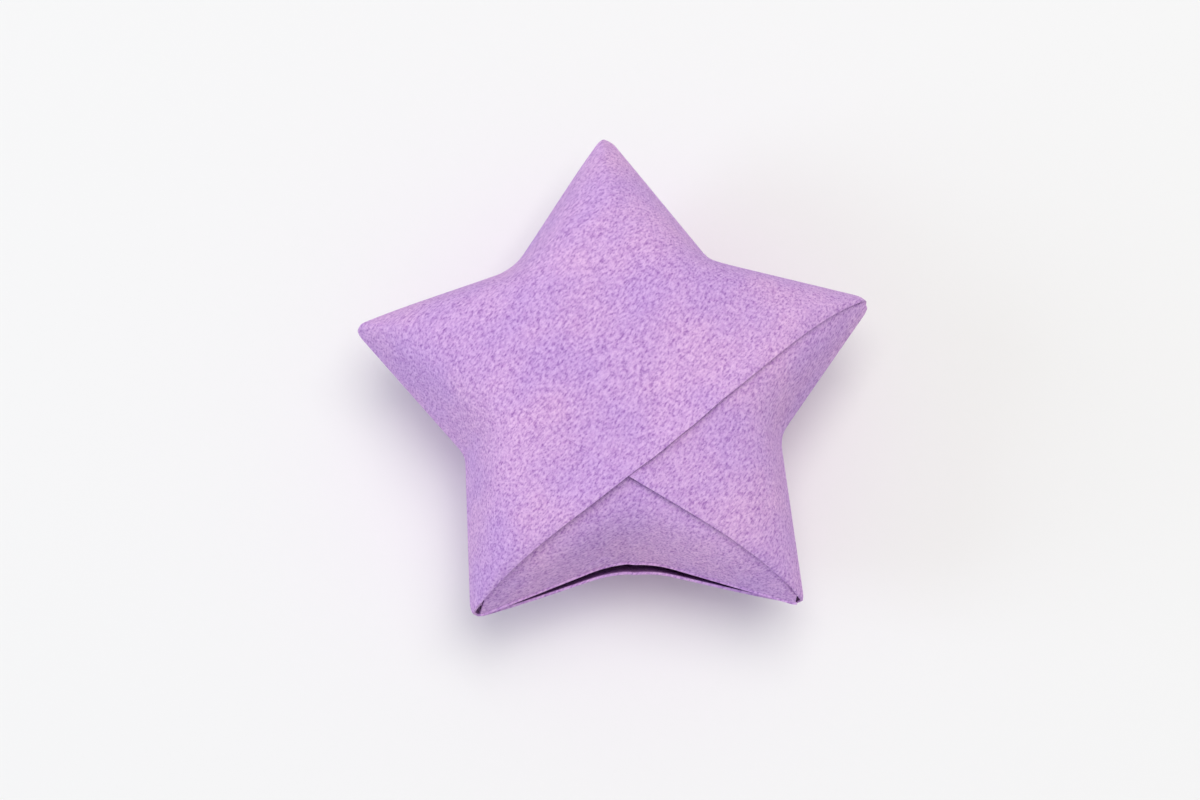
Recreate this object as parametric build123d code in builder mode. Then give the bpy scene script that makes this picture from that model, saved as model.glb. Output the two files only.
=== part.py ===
"""A puffed "lucky star": one paper strip knotted into a pentagon, wound round itself,
its tail tucked in, and its five sides pinched in so that both faces swell.

The strip has no separate pieces, so the star is one solid. Its wall is the stack of wound
layers round a sealed hollow. Each visible turn is one paper thickness proud of the turn it
lies on, and ends in a straight cut edge that runs from point to point.

Frame: origin in the middle of the spot the star rests on, +Z up out of the front face,
+Y through the first point. Points are numbered clockwise, seen from the front.
"""
from build123d import *
from math import atan2, cos, pi, radians, sin
import os

# ---- outline, in plan ----
point_reach = 10.0                              # centre to a point, before it is blunted
point_stretch = (0.0, -0.05, 0.25, -0.15, 0.15) # how much further each point reaches
point_swing = (0.0, -0.6, 0.6, -0.3, -0.6)      # each point's bearing, off its fifth of a turn
notch_reach = 6.0                               # centre to the bottom of each pinch
point_blunting = 0.3                            # paper lost from the end of each point
point_rounding = 0.5                            # radius of the blunted end

# ---- puffed faces ----
half_height = 3.65                              # mid plane to the outermost turn
fold_band = 0.3                                 # height of the upright stack of folds at the rim
arm_setback = 3.8                               # from a point in to where a face turns down
notch_setback = 1.0                             # and from the bottom of a pinch
arm_fullness = 1.1                              # how squarely it turns down, on an arm
notch_fullness = 2.0                            # and at a pinch
arm_ridge = 1.9                                 # how far the soft ridge stays square to an arm
notch_ridge = 1.3                               # and to a pinch
rest_flat = 0.08                                # depth pressed flat where the star rests

# ---- paper ----
paper = 0.1                                     # thickness of the strip
wall_layers = 4                                 # layers in the stack under the visible turns
edge_slack = 0.3                                # how far a cut edge stops short of its points
front_lip = 0.15                                # how far the last front turn stands off its pinch
back_lip = 0.35                                 # and the last back turn
lip_depth = 0.35                                # depth of the gap behind such a free edge

# ---- how the strip is wound ----
points = 5
fifth = 360 / points
front_turns = ((0, 0, 0), (4, 1, 0), (3, 2, front_lip))  # (panel, level, lip), outermost last
back_turns = ((2, 0, 0), (0, 1, 0), (1, 2, back_lip))    # panel 0 is the tail, under panel 1
top_level = 2

mid_height = half_height - rest_flat
wall = wall_layers * paper
dome_rise = half_height - fold_band / 2 - top_level * paper


def in_plan(reach, bearing):
    """A place in plan, from its distance and its bearing in degrees."""
    return Vector(reach * cos(radians(bearing)), reach * sin(radians(bearing)))


def point_bearing(index):
    return 90 - fifth * index + point_swing[index % points]


def notch_bearing(index):
    """Bearing of the pinch between a point and the next one clockwise."""
    return 90 - fifth * (index + 0.5)


def point_place(index, inset=0):
    return in_plan(point_reach + point_stretch[index % points] - inset, point_bearing(index))


def notch_place(index, inset=0):
    return in_plan(notch_reach - inset, notch_bearing(index))


def outline(inset_at_points=0, inset_at_notches=(0,) * points):
    """The corners of the star, each point followed by the pinch after it."""
    corners = []
    for index in range(points):
        corners.append(point_place(index, inset_at_points))
        corners.append(notch_place(index, inset_at_notches[index]))
    return corners


def puffed_patch(index, side, rise, corners, inset):
    """Half an arm's face, as one rational patch from the star's centre to its rim.

    Every section through the centre is a conic that leaves the centre level, turns down at
    the shoulder and meets the rim. side is 1 for the half clockwise of the point, -1 for
    the other half.
    """
    point = corners[2 * index]
    notch = corners[(2 * index + side) % (2 * points)]
    bearing_at_point = point_bearing(index)
    bearing_at_notch = notch_bearing(index + (side - 1) // 2)
    at_point = in_plan(point_reach - arm_setback - inset, bearing_at_point)
    at_notch = in_plan(notch_reach - notch_setback - inset, bearing_at_notch)
    level = Vector(0, 0, rise)
    shoulder = [
        at_point,
        at_point + in_plan(arm_ridge, bearing_at_point - 90 * side),
        at_notch + in_plan(notch_ridge, bearing_at_notch + 90 * side),
        at_notch,
    ]
    rim = [point + (notch - point) * share for share in (0, 1 / 3, 2 / 3, 1)]
    fullness = [arm_fullness, arm_fullness, notch_fullness, notch_fullness]
    return Face.make_bezier_surface(
        [[level] * 4, [place + level for place in shoulder], rim],
        [[1] * 4, fullness, [1] * 4],
    )


def dome(rise, corners, inset=0):
    """A closed puffed half star on its flat outline, rising to a level centre."""
    faces = [Face(Wire.make_polygon(corners, close=True))]
    for index in range(points):
        for side in (1, -1):
            faces.append(puffed_patch(index, side, rise, corners, inset))
    return Solid(Shell(faces))


def cut_edge(panel):
    """The upright plane of a panel's free long edge, facing the paper it bounds."""
    start = point_place(panel)
    end = point_place(panel + 3)
    along = (end - start).normalized()
    inward = Vector(-along.Y, along.X)
    if inward.dot(point_place(panel + 1) - start) < 0:
        inward = inward * -1
    return Plane(origin=start + inward * edge_slack, x_dir=along, z_dir=inward)


def wound_turn(panel, level, lip):
    """One face of the star out to a level of the winding, over its own panel's extent.

    With a lip, the panel's free short edge is pinched in less than the folds under it, and
    stands off them with a narrow gap behind it.
    """
    free_side = (panel + 1) % points
    corners = outline(0, [-lip if index == free_side else 0 for index in range(points)])
    base = fold_band / 2 + level * paper
    with BuildPart() as turn:
        with BuildSketch():
            with BuildLine():
                Polyline(*corners, close=True)
            make_face()
        extrude(amount=base)
        with Locations((0, 0, base)):
            add(dome(dome_rise, corners))
        if lip > paper:
            with BuildSketch():
                with BuildLine():
                    Polyline(*corners, close=True)
                make_face()
                offset(amount=-paper, mode=Mode.REPLACE)
                with BuildLine():
                    Polyline(*outline(), close=True)
                make_face(mode=Mode.SUBTRACT)
            extrude(amount=lip_depth, mode=Mode.SUBTRACT)
        if level > 0:
            split(bisect_by=cut_edge(panel), keep=Keep.TOP)
    return turn.part


def hollow_half():
    """The space inside one face, a wall's thickness in from the lowest visible turn."""
    half_step = pi / points
    arm_length = point_reach + max(point_stretch) - notch_reach * cos(half_step)
    lean = atan2(notch_reach * sin(half_step), arm_length)
    corners = outline(wall / sin(lean), [wall / sin(lean + half_step)] * points)
    return dome(fold_band / 2 + dome_rise - wall, corners, wall)


with BuildPart() as paper_star:
    with Locations((0, 0, mid_height)):
        for panel, level, lip in front_turns:
            add(wound_turn(panel, level, lip))
        for panel, level, lip in back_turns:
            add(mirror(wound_turn(panel, level, lip), about=Plane.XY, mode=Mode.PRIVATE))
        add(hollow_half(), mode=Mode.SUBTRACT)
        add(mirror(hollow_half(), about=Plane.XY, mode=Mode.PRIVATE), mode=Mode.SUBTRACT)
    with BuildSketch(Plane.XY.offset(mid_height - half_height)):
        for index in range(points):
            rounding_centre = point_place(index, point_blunting + point_rounding)
            with Locations(Location(rounding_centre, (0, 0, point_bearing(index)))):
                Rectangle(2 * point_rounding, 4 * point_rounding, align=(Align.MIN, Align.CENTER))
                Circle(point_rounding, mode=Mode.SUBTRACT)
    extrude(amount=2 * half_height, mode=Mode.SUBTRACT)
    split(bisect_by=Plane.XY, keep=Keep.TOP)

paper_star.part.label = "paper_star"
os.makedirs("parts", exist_ok=True)
export_step(paper_star.part, "parts/paper_star.step")
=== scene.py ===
"""Folded paper lucky star: one strip, knotted, wound and puffed, on a pale table.

The star is modelled as the real strip. Each panel between two folds is a trapezoid of the
flat pentagon, and a map bends the flat pentagon into the puffed star, layer by layer.
The star's places are in millimetres until its mesh is made; the studio is in metres.
"""
from math import cos, pi, radians, sin, tau

import bpy
import numpy as np
from mathutils import Matrix, Vector


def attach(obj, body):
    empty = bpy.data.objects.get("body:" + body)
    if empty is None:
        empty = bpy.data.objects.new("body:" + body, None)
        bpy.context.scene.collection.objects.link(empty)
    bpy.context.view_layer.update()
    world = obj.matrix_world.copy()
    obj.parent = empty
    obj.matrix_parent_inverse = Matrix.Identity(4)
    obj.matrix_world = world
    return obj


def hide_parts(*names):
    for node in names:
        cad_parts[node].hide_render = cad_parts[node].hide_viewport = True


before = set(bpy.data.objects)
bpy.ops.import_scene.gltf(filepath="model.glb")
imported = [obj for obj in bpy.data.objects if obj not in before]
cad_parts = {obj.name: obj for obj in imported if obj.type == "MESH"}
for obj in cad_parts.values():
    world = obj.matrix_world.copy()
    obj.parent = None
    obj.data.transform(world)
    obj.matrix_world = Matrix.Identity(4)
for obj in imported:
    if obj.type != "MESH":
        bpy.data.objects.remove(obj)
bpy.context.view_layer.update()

MM = 0.001

# ---------------------------------------------------------------- the strip, in mm
POINTS = 5
FIFTH = tau / POINTS
STRIP_WIDTH = 12.0
PAPER = 0.088                   # the strip's own thickness
LAYER = 0.1                     # from a panel to the next over it, with the air between
PANELS = 15                     # panels between folds, which makes the strip about 250 mm long
SEEN_PANELS = 6                 # the last panels, which show, and so get a finer mesh
LAST_CORNER = 0                 # the point where the tail, on the back, starts
SIDE = STRIP_WIDTH / sin(FIFTH)
FLAT_REACH = SIDE / (2 * sin(pi / POINTS))
APOTHEM = FLAT_REACH * cos(pi / POINTS)
PANEL_LENGTH = 1.3 * SIDE       # about the mean of a panel's free long and short edges
EDGE_SLACK = 0.3                # how far the strip is drawn in along each edge
LIP_STAND = {1: 0.12, 2: 0.34}  # how far a panel's free short edge stands off a pinch, and
CUT_LIFT = {1: 0.13, 3: 0.11}   # how far its long edge springs up, by panels before the tail
LIP_SPREAD = (0.35, 0.95)       # shares of the width where a lip starts and is at its full
CUT_SPREAD = 0.10               # share of the width that lifts with the long edge
FOLD_HOLD = 0.12                # how far the folds hold that lift down
TAIL_TUCK = 1.5                 # how many layers down the tail is tucked
TUCK_SHARE = 0.35               # share of the tail's length over which it goes down

# ---------------------------------------------------------------- the puffed star, in mm
POINT_SWING = np.radians([0.0, -0.6, 0.6, -0.3, -0.6])    # off the even bearings of a star
POINT_REACH = np.array([10.0, 9.95, 10.25, 9.85, 10.15])  # before the points are blunted
POINT_BEARING = pi / 2 - FIFTH * np.arange(POINTS) + POINT_SWING
NOTCH_REACH = np.array([6.0, 6.0, 6.0, 6.0, 6.0])
NOTCH_BEARING = pi / 2 - FIFTH * (np.arange(POINTS) + 0.5)
HALF_HEIGHT = 3.60              # from the rim's plane to the middle of a face
MID_HEIGHT = 3.57               # the rim's plane, above the spot the star rests on
ARM_SHOULDER = np.array([6.7, 6.9, 7.0, 6.9, 6.6])        # where a face turns down
NOTCH_SHOULDER = np.array([5.15, 5.15, 5.25, 4.9, 5.1])
ARM_FULLNESS = 1.35             # how squarely it turns down
NOTCH_FULLNESS = 3.0
ARM_RIDGE = 1.9                 # how far the soft ridge stays square to an arm or a pinch
NOTCH_RIDGE = 1.3
NOTCH_ROUND = np.array([0.06, 0.08, 0.26, 0.05, 0.12])    # share of a side that is rounded
POINT_BLUNTING = 0.3            # how much shorter the squashed end leaves a point
BLUNT_LENGTH = 0.35
POINT_GROWTH = 1.7              # what each layer adds to a reach, in layer thicknesses
NOTCH_GROWTH = 1.1
SHOULDER_GROWTH = 0.6

# ---------------------------------------------------------------- how fine the mesh is
SEEN_ROWS = 80                  # about how many steps go along a panel that shows
HIDDEN_ROWS = 18
STRIP_COLUMNS = 60              # and across the strip
SECTION_STEPS = 49              # on a section from the centre to the rim
SHOULDER_STEPS = 65             # on a shoulder line from an arm to a pinch
EDGE_STEP = 0.03                # the first step in from an edge or a fold, in mm
EDGE_GROWTH = 1.7               # how much longer each next one is
SHARP_ANGLE = radians(50)       # a turn sharper than this keeps a hard edge

# ---------------------------------------------------------------- the paper, in mm
TOOTH = 0.075                   # width and length of the slanting marks in its surface
TOOTH_LENGTH = 0.15
TOOTH_SLANT = radians(-48)
TOOTH_RELIEF = 0.05             # depth of the surface, and how strongly it shades
RELIEF_STRENGTH = 0.55
GRAIN = 0.16                    # size of the finer mottle, and its share of the relief
GRAIN_RELIEF = 0.6
CLOUD = 2.6                     # size of the slow drift between the two lilacs
PAPER_COOL = (0.62, 0.375, 0.73)
PAPER_WARM = (0.71, 0.43, 0.74)
TOOTH_DARK = (0.56, 0.42, 0.66)
TOOTH_PALE = (1.24, 1.34, 1.16)
GRAIN_DARK = (0.82, 0.72, 0.86)
CRISPNESS = 0.6                 # how much of the noise is in its finest marks
ROUGHNESS = 0.82
SHINE = 0.35
UNCHANGED = (1, 1, 1)

# ---------------------------------------------------------------- the studio, in metres
TABLE_HALF = 0.5
TABLE_COLOUR = (0.91, 0.90, 0.87, 1)
SKY_COLOUR = (0.92, 0.95, 1.0, 1)
SKY_STRENGTH = 0.52
TABLE_ROUGHNESS = 0.9
CEILING_PLACE = (0.05, 0.08, 0.40)
CEILING_SIZE = 0.30
CEILING_POWER = 0.96            # in watts
CEILING_COLOUR = (1.0, 0.975, 0.95)
WINDOW_PLACE = (-0.35, -0.02, 0.16)
WINDOW_SIZE = 0.18
WINDOW_POWER = 0.36
WINDOW_COLOUR = (0.66, 0.76, 1.0)
VIEW_ELEVATION = radians(76.3)
VIEW_AZIMUTH = radians(-7.0)
VIEW_ROLL = radians(3.4)
VIEW_DISTANCE = 0.110
VIEW_SHIFT = (-0.0169167, -0.0031667)  # shares of the frame's width
LENS = 91.9                     # mm, on a sensor 36 mm wide
SENSOR = 36


# ---------------------------------------------------------------- the map from flat to star
def polar(reach, bearing):
    """Places in plan, from their distances and bearings."""
    return np.stack([reach * np.cos(bearing), reach * np.sin(bearing)], axis=-1)


def ease(value, start, end):
    """0 at start, 1 at end, and smooth between them."""
    x = np.clip((value - start) / (end - start), 0.0, 1.0)
    return x * x * (3 - 2 * x)


def shoulder_row(point, hand, along, extra=0.0, stand=0.0):
    """The line where a face turns down, from an arm (along 0) to the pinch beside it (1)."""
    side = (point + (hand - 1) // 2) % POINTS
    arm_bearing = POINT_BEARING[point]
    notch_bearing = NOTCH_BEARING[side]
    on_arm = polar(ARM_SHOULDER[point] + SHOULDER_GROWTH * extra, arm_bearing)
    at_notch = polar(NOTCH_SHOULDER[side] + SHOULDER_GROWTH * extra + stand, notch_bearing)
    beside_arm = on_arm + ARM_RIDGE * polar(1.0, arm_bearing - hand * pi / 2)
    beside_notch = at_notch + NOTCH_RIDGE * polar(1.0, notch_bearing + hand * pi / 2)
    basis = (
        (1 - along) ** 3,
        3 * along * (1 - along) ** 2,
        3 * along**2 * (1 - along),
        along**3,
    )
    fullness = (ARM_FULLNESS, ARM_FULLNESS, NOTCH_FULLNESS, NOTCH_FULLNESS)
    pulls = [share * full for share, full in zip(basis, fullness)]
    corners = (on_arm, beside_arm, beside_notch, at_notch)
    weight = sum(pulls)
    place = sum(pull[..., None] * corner for pull, corner in zip(pulls, corners))
    return place / weight[..., None], weight


def bearing_table(point, hand):
    """How far along the shoulder line each bearing from an arm's axis to the pinch meets it."""
    along = np.linspace(0, 1, SHOULDER_STEPS)
    place, _ = shoulder_row(np.full(len(along), point), hand, along)
    off_axis = (POINT_BEARING[point] - np.arctan2(place[:, 1], place[:, 0])) * hand % tau
    off_axis[off_axis > pi] -= tau
    return off_axis / off_axis[-1], along


def flat_sector(flat):
    """Which side and arm a flat point is by, and how far round and out it is."""
    half = pi / POINTS
    turn = (pi / 2 - np.arctan2(flat[..., 1], flat[..., 0])) % tau
    side = np.minimum((turn / FIFTH).astype(int), POINTS - 1)
    into_side = turn - side * FIFTH
    first = into_side < half
    point = np.where(first, side, (side + 1) % POINTS)
    hand = np.where(first, 1, -1)
    off_axis = np.where(first, into_side, FIFTH - into_side)
    along = np.zeros_like(off_axis)
    for arm in range(POINTS):
        for arm_hand in (1, -1):
            here = (point == arm) & (hand == arm_hand)
            along[here] = np.interp(off_axis[here] / half, *bearing_table(arm, arm_hand))
    reach = np.hypot(flat[..., 0], flat[..., 1])
    edge_reach = APOTHEM / np.cos(half - off_axis)
    return side, point, hand, along, reach, edge_reach


def along_conic(reach, edge_reach, shoulder, rim, rise, weight):
    """A point on the section from the centre to the rim, at its flat distance from the centre.

    Near the centre the paper is not stretched. What the section lacks or has over is made up
    near the rim.
    """
    steps = np.linspace(0, 1, SECTION_STEPS)
    rest = 1 - steps
    divisor = rest**2 + 2 * weight[..., None] * steps * rest + steps**2
    at_shoulder = (2 * weight[..., None] * steps * rest / divisor)[..., None]
    at_rim = (steps**2 / divisor)[..., None]
    plan = at_shoulder * shoulder[..., None, :] + at_rim * rim[..., None, :]
    height = (1 - at_rim) * rise[..., None, None]
    path = np.concatenate([plan, height], axis=-1)
    length = np.cumsum(np.linalg.norm(np.diff(path, axis=-2), axis=-1), axis=-1)
    length = np.concatenate([np.zeros_like(length[..., :1]), length], axis=-1)
    out = np.clip(reach / edge_reach, 0, 1)
    wanted = reach + (length[..., -1] - edge_reach) * out**3
    after = np.clip((length < wanted[..., None]).sum(axis=-1), 1, len(steps) - 1)[..., None]
    low = np.take_along_axis(length, after - 1, axis=-1)[..., 0]
    high = np.take_along_axis(length, after, axis=-1)[..., 0]
    mix = np.clip((wanted - low) / np.maximum(high - low, 1e-9), 0, 1)[..., None]
    place_before = np.take_along_axis(path, after[..., None] - 1, axis=-2)[..., 0, :]
    place_after = np.take_along_axis(path, after[..., None], axis=-2)[..., 0, :]
    return place_before + (place_after - place_before) * mix


def blunt(place):
    """Squashes the last of each arm into a rounded end."""
    for point in range(POINTS):
        axis = polar(1.0, POINT_BEARING[point])
        start = POINT_REACH[point] - POINT_BLUNTING - BLUNT_LENGTH
        over = np.maximum(place[..., :2] @ axis - start, 0)
        squashed = BLUNT_LENGTH * (1 - np.exp(-over / BLUNT_LENGTH))
        place[..., :2] += (squashed - over)[..., None] * axis
    return place


def puff(flat, face, layer, stand, stand_side):
    """Where a flat point comes to on the puffed star. layer counts down from the outermost."""
    side, point, hand, along, reach, edge_reach = flat_sector(flat)
    extra = -layer * LAYER
    stand = np.where(side == stand_side, stand, 0.0)
    tip = polar(POINT_REACH[point] + POINT_GROWTH * extra, POINT_BEARING[point])
    notch = polar(NOTCH_REACH[side] + NOTCH_GROWTH * extra + stand, NOTCH_BEARING[side])
    shoulder, weight = shoulder_row(point, hand, along, extra, stand)
    rounding = NOTCH_ROUND[side]
    into_round = np.maximum(along - 1 + rounding, 0)
    steepness = POINT_REACH[point] * cos(pi / POINTS) - NOTCH_REACH[side]
    rim = tip + (notch - tip) * along[..., None]
    rim += polar(steepness * into_round**2 / (2 * rounding), NOTCH_BEARING[side])
    rise = HALF_HEIGHT + extra + np.zeros_like(along)
    place = blunt(along_conic(reach, edge_reach, shoulder, rim, rise, weight))
    place[..., 2] *= face
    return place


# ---------------------------------------------------------------- the strip, panel by panel
def close_at_ends(count, length):
    """Shares from 0 to 1 that are close together at both ends, where the paper turns."""
    steps = [0.0]
    gap = EDGE_STEP
    while gap < length / count:
        steps.append(steps[-1] + gap)
        gap *= EDGE_GROWTH
    inner = np.linspace(steps[-1], length - steps[-1], max(count - 2 * len(steps), 3))
    ends = np.array(steps[:-1])
    return np.concatenate([ends, inner, length - ends[::-1]]) / length


def panel_grid(corner, rows, columns):
    """Flat places over one panel: rows along the strip, columns across it from its long edge."""
    flat_corners = polar(FLAT_REACH, pi / 2 - FIFTH * (corner + np.arange(4)))
    long_start, short_start, short_end, long_end = flat_corners
    u = rows[:, None, None]
    slack = EDGE_SLACK / STRIP_WIDTH
    v = slack + (1 - 2 * slack) * columns[None, :, None]
    on_long_edge = long_start + (long_end - long_start) * u
    on_short_edge = short_start + (short_end - short_start) * u
    return on_long_edge * (1 - v) + on_short_edge * v


def puffed_panel(back, columns):
    """One panel of the strip in place, counted back from the tail, which is panel 0."""
    corner = (LAST_CORNER - 2 * back) % POINTS
    face = -1 if back % 2 == 0 else 1
    rows = close_at_ends(SEEN_ROWS if back < SEEN_PANELS else HIDDEN_ROWS, PANEL_LENGTH)
    if back == 0:
        layer = TAIL_TUCK * ease(rows, 0, TUCK_SHARE)
    else:
        layer = (back + 0.5 - rows) / 2
    layer = layer[:, None] + np.zeros(len(columns))
    stand = LIP_STAND.get(back, 0.0) * ease(columns, *LIP_SPREAD)
    place = puff(panel_grid(corner, rows, columns), face, layer, stand, (corner + 1) % POINTS)
    near_long_edge = ease(columns, CUT_SPREAD, 0.0)
    off_folds = ease(rows * (1 - rows), 0, FOLD_HOLD)
    place[..., 2] += face * CUT_LIFT.get(back, 0.0) * off_folds[:, None] * near_long_edge
    return place


def wound_strip():
    """The strip's middle surface from its hidden start to its tail, resting on the table."""
    columns = close_at_ends(STRIP_COLUMNS, STRIP_WIDTH)
    panels = []
    for number in range(PANELS):
        place = puffed_panel(PANELS - 1 - number, columns)
        if number % 2 == 1:
            place = place[:, ::-1]
        panels.append(place if number == 0 else place[1:])
    middle = np.concatenate(panels, axis=0)
    middle[..., 2] += MID_HEIGHT
    return middle


def quads_between(first, second, third, fourth):
    """Faces from four equal arrays of corner numbers."""
    return np.stack([first, second, third, fourth], axis=-1).reshape(-1, 4)


def sheet(name, middle, thickness):
    """A closed sheet of even thickness about a grid of places in millimetres."""
    normal = np.cross(np.gradient(middle, axis=1), np.gradient(middle, axis=0))
    normal /= np.maximum(np.linalg.norm(normal, axis=-1, keepdims=True), 1e-9)
    outer = middle + normal * thickness / 2
    inner = middle - normal * thickness / 2
    places = np.concatenate([outer.reshape(-1, 3), inner.reshape(-1, 3)]) * MM
    rows, columns = middle.shape[:2]
    top = np.arange(rows * columns).reshape(rows, columns)
    low = top + rows * columns
    faces = np.concatenate([
        quads_between(top[:-1, :-1], top[:-1, 1:], top[1:, 1:], top[1:, :-1]),
        quads_between(low[:-1, :-1], low[1:, :-1], low[1:, 1:], low[:-1, 1:]),
        quads_between(top[:-1, 0], top[1:, 0], low[1:, 0], low[:-1, 0]),
        quads_between(top[1:, -1], top[:-1, -1], low[:-1, -1], low[1:, -1]),
        quads_between(top[0, 1:], top[0, :-1], low[0, :-1], low[0, 1:]),
        quads_between(top[-1, :-1], top[-1, 1:], low[-1, 1:], low[-1, :-1]),
    ])
    mesh = bpy.data.meshes.new(name)
    mesh.from_pydata(places.tolist(), [], faces.tolist())
    mesh.validate()
    mesh.update()
    mesh.polygons.foreach_set("use_smooth", [True] * len(mesh.polygons))
    mesh.set_sharp_from_angle(angle=SHARP_ANGLE)
    return add_object(name, mesh)


def add_object(name, data):
    thing = bpy.data.objects.new(name, data)
    bpy.context.scene.collection.objects.link(thing)
    return thing


# ---------------------------------------------------------------- the paper's finish
def lilac_paper():
    """Uncoated lilac craft paper, with a fine slanting tooth, a mottle and cloudy colour."""
    material = bpy.data.materials.new("lilac_paper")
    material.use_nodes = True
    nodes = material.node_tree.nodes
    link = material.node_tree.links.new
    shader = nodes["Principled BSDF"]
    shader.inputs["Roughness"].default_value = ROUGHNESS
    shader.inputs["Specular IOR Level"].default_value = SHINE
    place = nodes.new("ShaderNodeTexCoord").outputs["Object"]

    def noise(size, detail, roughness=0.5, slant=0.0):
        """Noise with marks of a size in millimetres along each axis, turned by a slant."""
        turned = nodes.new("ShaderNodeMapping")
        turned.inputs["Rotation"].default_value = (0, 0, slant)
        link(place, turned.inputs["Vector"])
        scaled = nodes.new("ShaderNodeMapping")
        scaled.inputs["Scale"].default_value = [1 / (length * MM) for length in size]
        link(turned.outputs["Vector"], scaled.inputs["Vector"])
        node = nodes.new("ShaderNodeTexNoise")
        node.inputs["Scale"].default_value = 1.0
        node.inputs["Detail"].default_value = detail
        node.inputs["Roughness"].default_value = roughness
        link(scaled.outputs["Vector"], node.inputs["Vector"])
        return node.outputs["Fac"]

    def ramp(value, *stops):
        node = nodes.new("ShaderNodeValToRGB")
        elements = node.color_ramp.elements
        while len(elements) < len(stops):
            elements.new(0.5)
        for element, (position, colour) in zip(elements, stops):
            element.position = position
            element.color = (*colour, 1)
        link(value, node.inputs["Fac"])
        return node.outputs["Color"]

    def multiply(first, second):
        node = nodes.new("ShaderNodeMix")
        node.data_type = "RGBA"
        node.blend_type = "MULTIPLY"
        node.inputs["Factor"].default_value = 1.0
        link(first, node.inputs[6])
        link(second, node.inputs[7])
        return node.outputs[2]

    tooth = noise((TOOTH_LENGTH, TOOTH, TOOTH), 3.0, CRISPNESS, TOOTH_SLANT)
    grain = noise((GRAIN, GRAIN, GRAIN), 4.0, CRISPNESS)
    cloud = noise((CLOUD, CLOUD, CLOUD), 2.0)
    lilac = ramp(cloud, (0.35, PAPER_COOL), (0.65, PAPER_WARM))
    tooth_tint = ramp(tooth, (0.30, TOOTH_DARK), (0.50, UNCHANGED), (0.72, TOOTH_PALE))
    grain_tint = ramp(grain, (0.30, GRAIN_DARK), (0.55, UNCHANGED))
    link(multiply(multiply(lilac, tooth_tint), grain_tint), shader.inputs["Base Color"])

    relief = nodes.new("ShaderNodeMath")
    relief.operation = "MULTIPLY_ADD"
    relief.inputs[1].default_value = GRAIN_RELIEF
    link(grain, relief.inputs[0])
    link(tooth, relief.inputs[2])
    bump = nodes.new("ShaderNodeBump")
    bump.inputs["Strength"].default_value = RELIEF_STRENGTH
    bump.inputs["Distance"].default_value = TOOTH_RELIEF * MM
    link(relief.outputs[0], bump.inputs["Height"])
    link(bump.outputs["Normal"], shader.inputs["Normal"])
    return material


# ---------------------------------------------------------------- table, light and camera
def pale_table():
    h = TABLE_HALF
    mesh = bpy.data.meshes.new("table")
    mesh.from_pydata([(-h, -h, 0), (h, -h, 0), (h, h, 0), (-h, h, 0)], [], [(0, 1, 2, 3)])
    material = bpy.data.materials.new("table")
    material.use_nodes = True
    shader = material.node_tree.nodes["Principled BSDF"]
    shader.inputs["Base Color"].default_value = TABLE_COLOUR
    shader.inputs["Roughness"].default_value = TABLE_ROUGHNESS
    mesh.materials.append(material)
    return add_object("table", mesh)


def even_sky():
    world = bpy.data.worlds.new("studio")
    world.use_nodes = True
    background = world.node_tree.nodes["Background"]
    background.inputs["Color"].default_value = SKY_COLOUR
    background.inputs["Strength"].default_value = SKY_STRENGTH
    bpy.context.scene.world = world


def soft_light(name, place, size, power, colour):
    """A square lamp that faces the star."""
    lamp = bpy.data.lights.new(name, "AREA")
    lamp.size = size
    lamp.energy = power
    lamp.color = colour
    holder = add_object(name, lamp)
    holder.location = place
    holder.rotation_mode = "QUATERNION"
    holder.rotation_quaternion = Vector(place).to_track_quat("Z", "Y")


def look_down():
    """The camera, high over the near side of the star and a little to the left."""
    level = cos(VIEW_ELEVATION)
    toward = Vector((
        sin(VIEW_AZIMUTH) * level,
        -cos(VIEW_AZIMUTH) * level,
        sin(VIEW_ELEVATION),
    ))
    right = Vector((cos(VIEW_AZIMUTH), sin(VIEW_AZIMUTH), 0))
    up = toward.cross(right)
    rolled_right = cos(VIEW_ROLL) * right + sin(VIEW_ROLL) * up
    rolled_up = cos(VIEW_ROLL) * up - sin(VIEW_ROLL) * right
    lens = bpy.data.cameras.new("camera")
    lens.lens = LENS
    lens.sensor_width = SENSOR
    lens.shift_x, lens.shift_y = VIEW_SHIFT
    lens.clip_start = MM
    camera = add_object("camera", lens)
    pose = Matrix((rolled_right, rolled_up, toward)).transposed().to_4x4()
    pose.translation = Vector((0, 0, MID_HEIGHT * MM)) + toward * VIEW_DISTANCE
    camera.matrix_world = pose
    bpy.context.scene.camera = camera


# ---------------------------------------------------------------- making the scene
star = sheet("paper_strip", wound_strip(), PAPER)
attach(star, "root")
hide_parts("paper_star")
star.data.materials.append(lilac_paper())

table = pale_table()
even_sky()
soft_light("ceiling", CEILING_PLACE, CEILING_SIZE, CEILING_POWER, CEILING_COLOUR)
soft_light("window", WINDOW_PLACE, WINDOW_SIZE, WINDOW_POWER, WINDOW_COLOUR)
look_down()
bpy.context.scene.view_settings.view_transform = "Standard"
